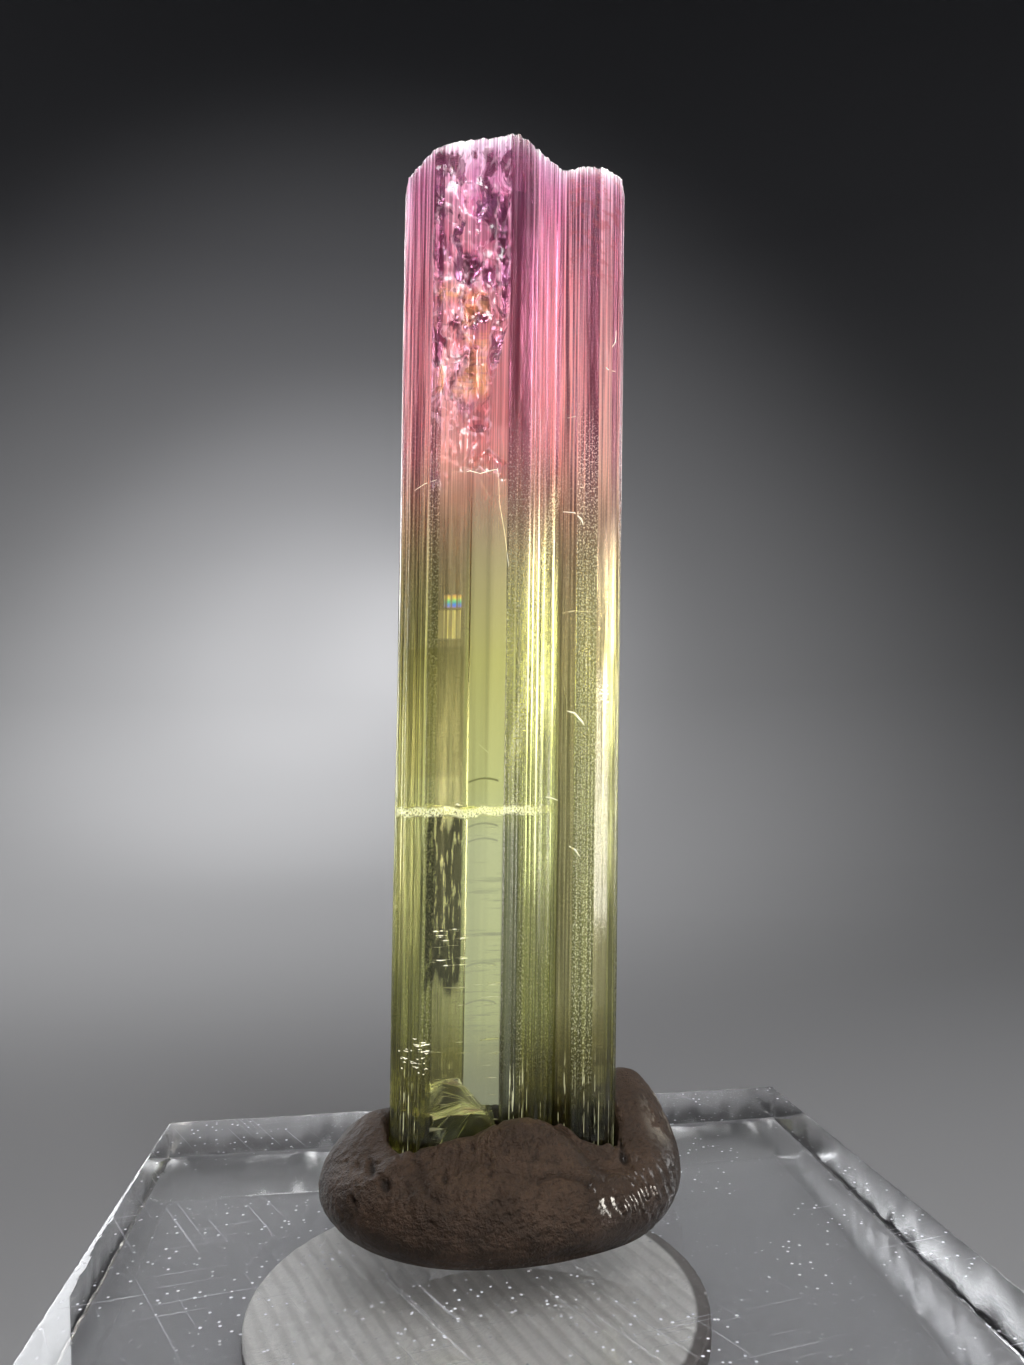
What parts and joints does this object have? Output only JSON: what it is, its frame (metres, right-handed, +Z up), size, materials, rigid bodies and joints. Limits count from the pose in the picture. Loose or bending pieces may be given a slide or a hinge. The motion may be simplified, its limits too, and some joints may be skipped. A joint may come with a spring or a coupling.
{
  "type": "tourmaline crystal on a display block",
  "caption": "Tall pink to green tourmaline crystal, a prism with a slimmer one grown along it, stood in putty on a clear square block.",
  "frame": {"origin": "middle of the square block's footprint, at the level of the pad's underside", "axes": "+Z up along the crystal, +Y away from the crystal's front face, +X towards the slimmer prism"},
  "size_m": [0.0382, 0.0382, 0.0607],
  "materials": {
    "tourmaline": "glossy prism faces with fine growth lines, pink at the top and green at the foot",
    "putty": "satin, with pressed ridges and pits",
    "clear_acrylic": "polished, with fine scratches",
    "white_pad": "matte, finely ridged"
  },
  "bodies": {
    "root": {"tourmaline_crystal": "tourmaline", "mounting_putty": "putty", "clear_block": "clear_acrylic", "white_disc": "white_pad"}
  },
  "joints": []
}
